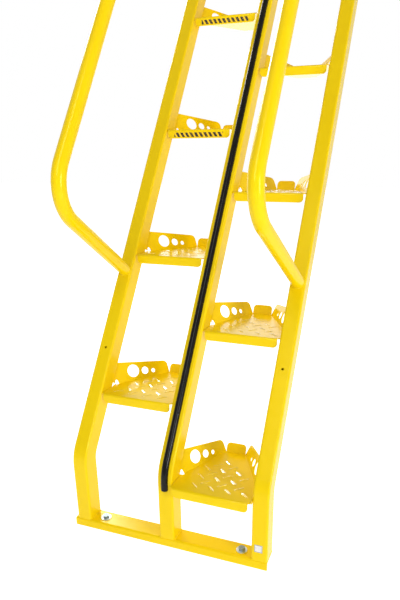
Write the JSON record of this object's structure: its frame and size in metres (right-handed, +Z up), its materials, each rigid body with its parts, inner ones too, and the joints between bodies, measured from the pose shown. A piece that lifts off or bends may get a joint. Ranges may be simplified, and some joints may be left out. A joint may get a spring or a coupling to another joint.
{
  "type": "alternating tread stair",
  "caption": "Steep fixed stair with folded half-width treads set in turn left and right of a centre stringer, looped pipe handrails, a floor channel and a landing plate.",
  "frame": {"origin": "on the floor, midway between the two floor anchors under the centre stringer", "axes": "+X to the climber's right across the stair, +Y forward up the stair towards the landing, +Z up"},
  "size_m": [0.673, 1.6711, 3.2527],
  "materials": {
    "powder_coat": "gloss yellow powder coat",
    "bumper_rubber": "satin black rubber",
    "zinc_steel": "zinc plated",
    "label_film": "blank printed film",
    "hazard_film": "black slashes on yellow film"
  },
  "bodies": {
    "root": {"base_channel": "powder_coat", "left_stringer": "powder_coat", "centre_stringer": "powder_coat", "right_stringer": "powder_coat", "right_tread_1": "powder_coat", "left_tread_2": "powder_coat", "right_tread_3": "powder_coat", "left_tread_4": "powder_coat", "right_tread_5": "powder_coat", "left_tread_6": "powder_coat", "right_tread_7": "powder_coat", "left_tread_8": "powder_coat", "right_tread_9": "powder_coat", "left_tread_10": "powder_coat", "landing_plate": "powder_coat", "left_handrail": "powder_coat", "right_handrail": "powder_coat", "centre_bumper": "bumper_rubber", "anchor_bolts": "zinc_steel", "anchor_washers": "zinc_steel", "blank_label": "label_film", "hazard_strip_6": "hazard_film", "hazard_strip_8": "hazard_film"}
  },
  "joints": []
}
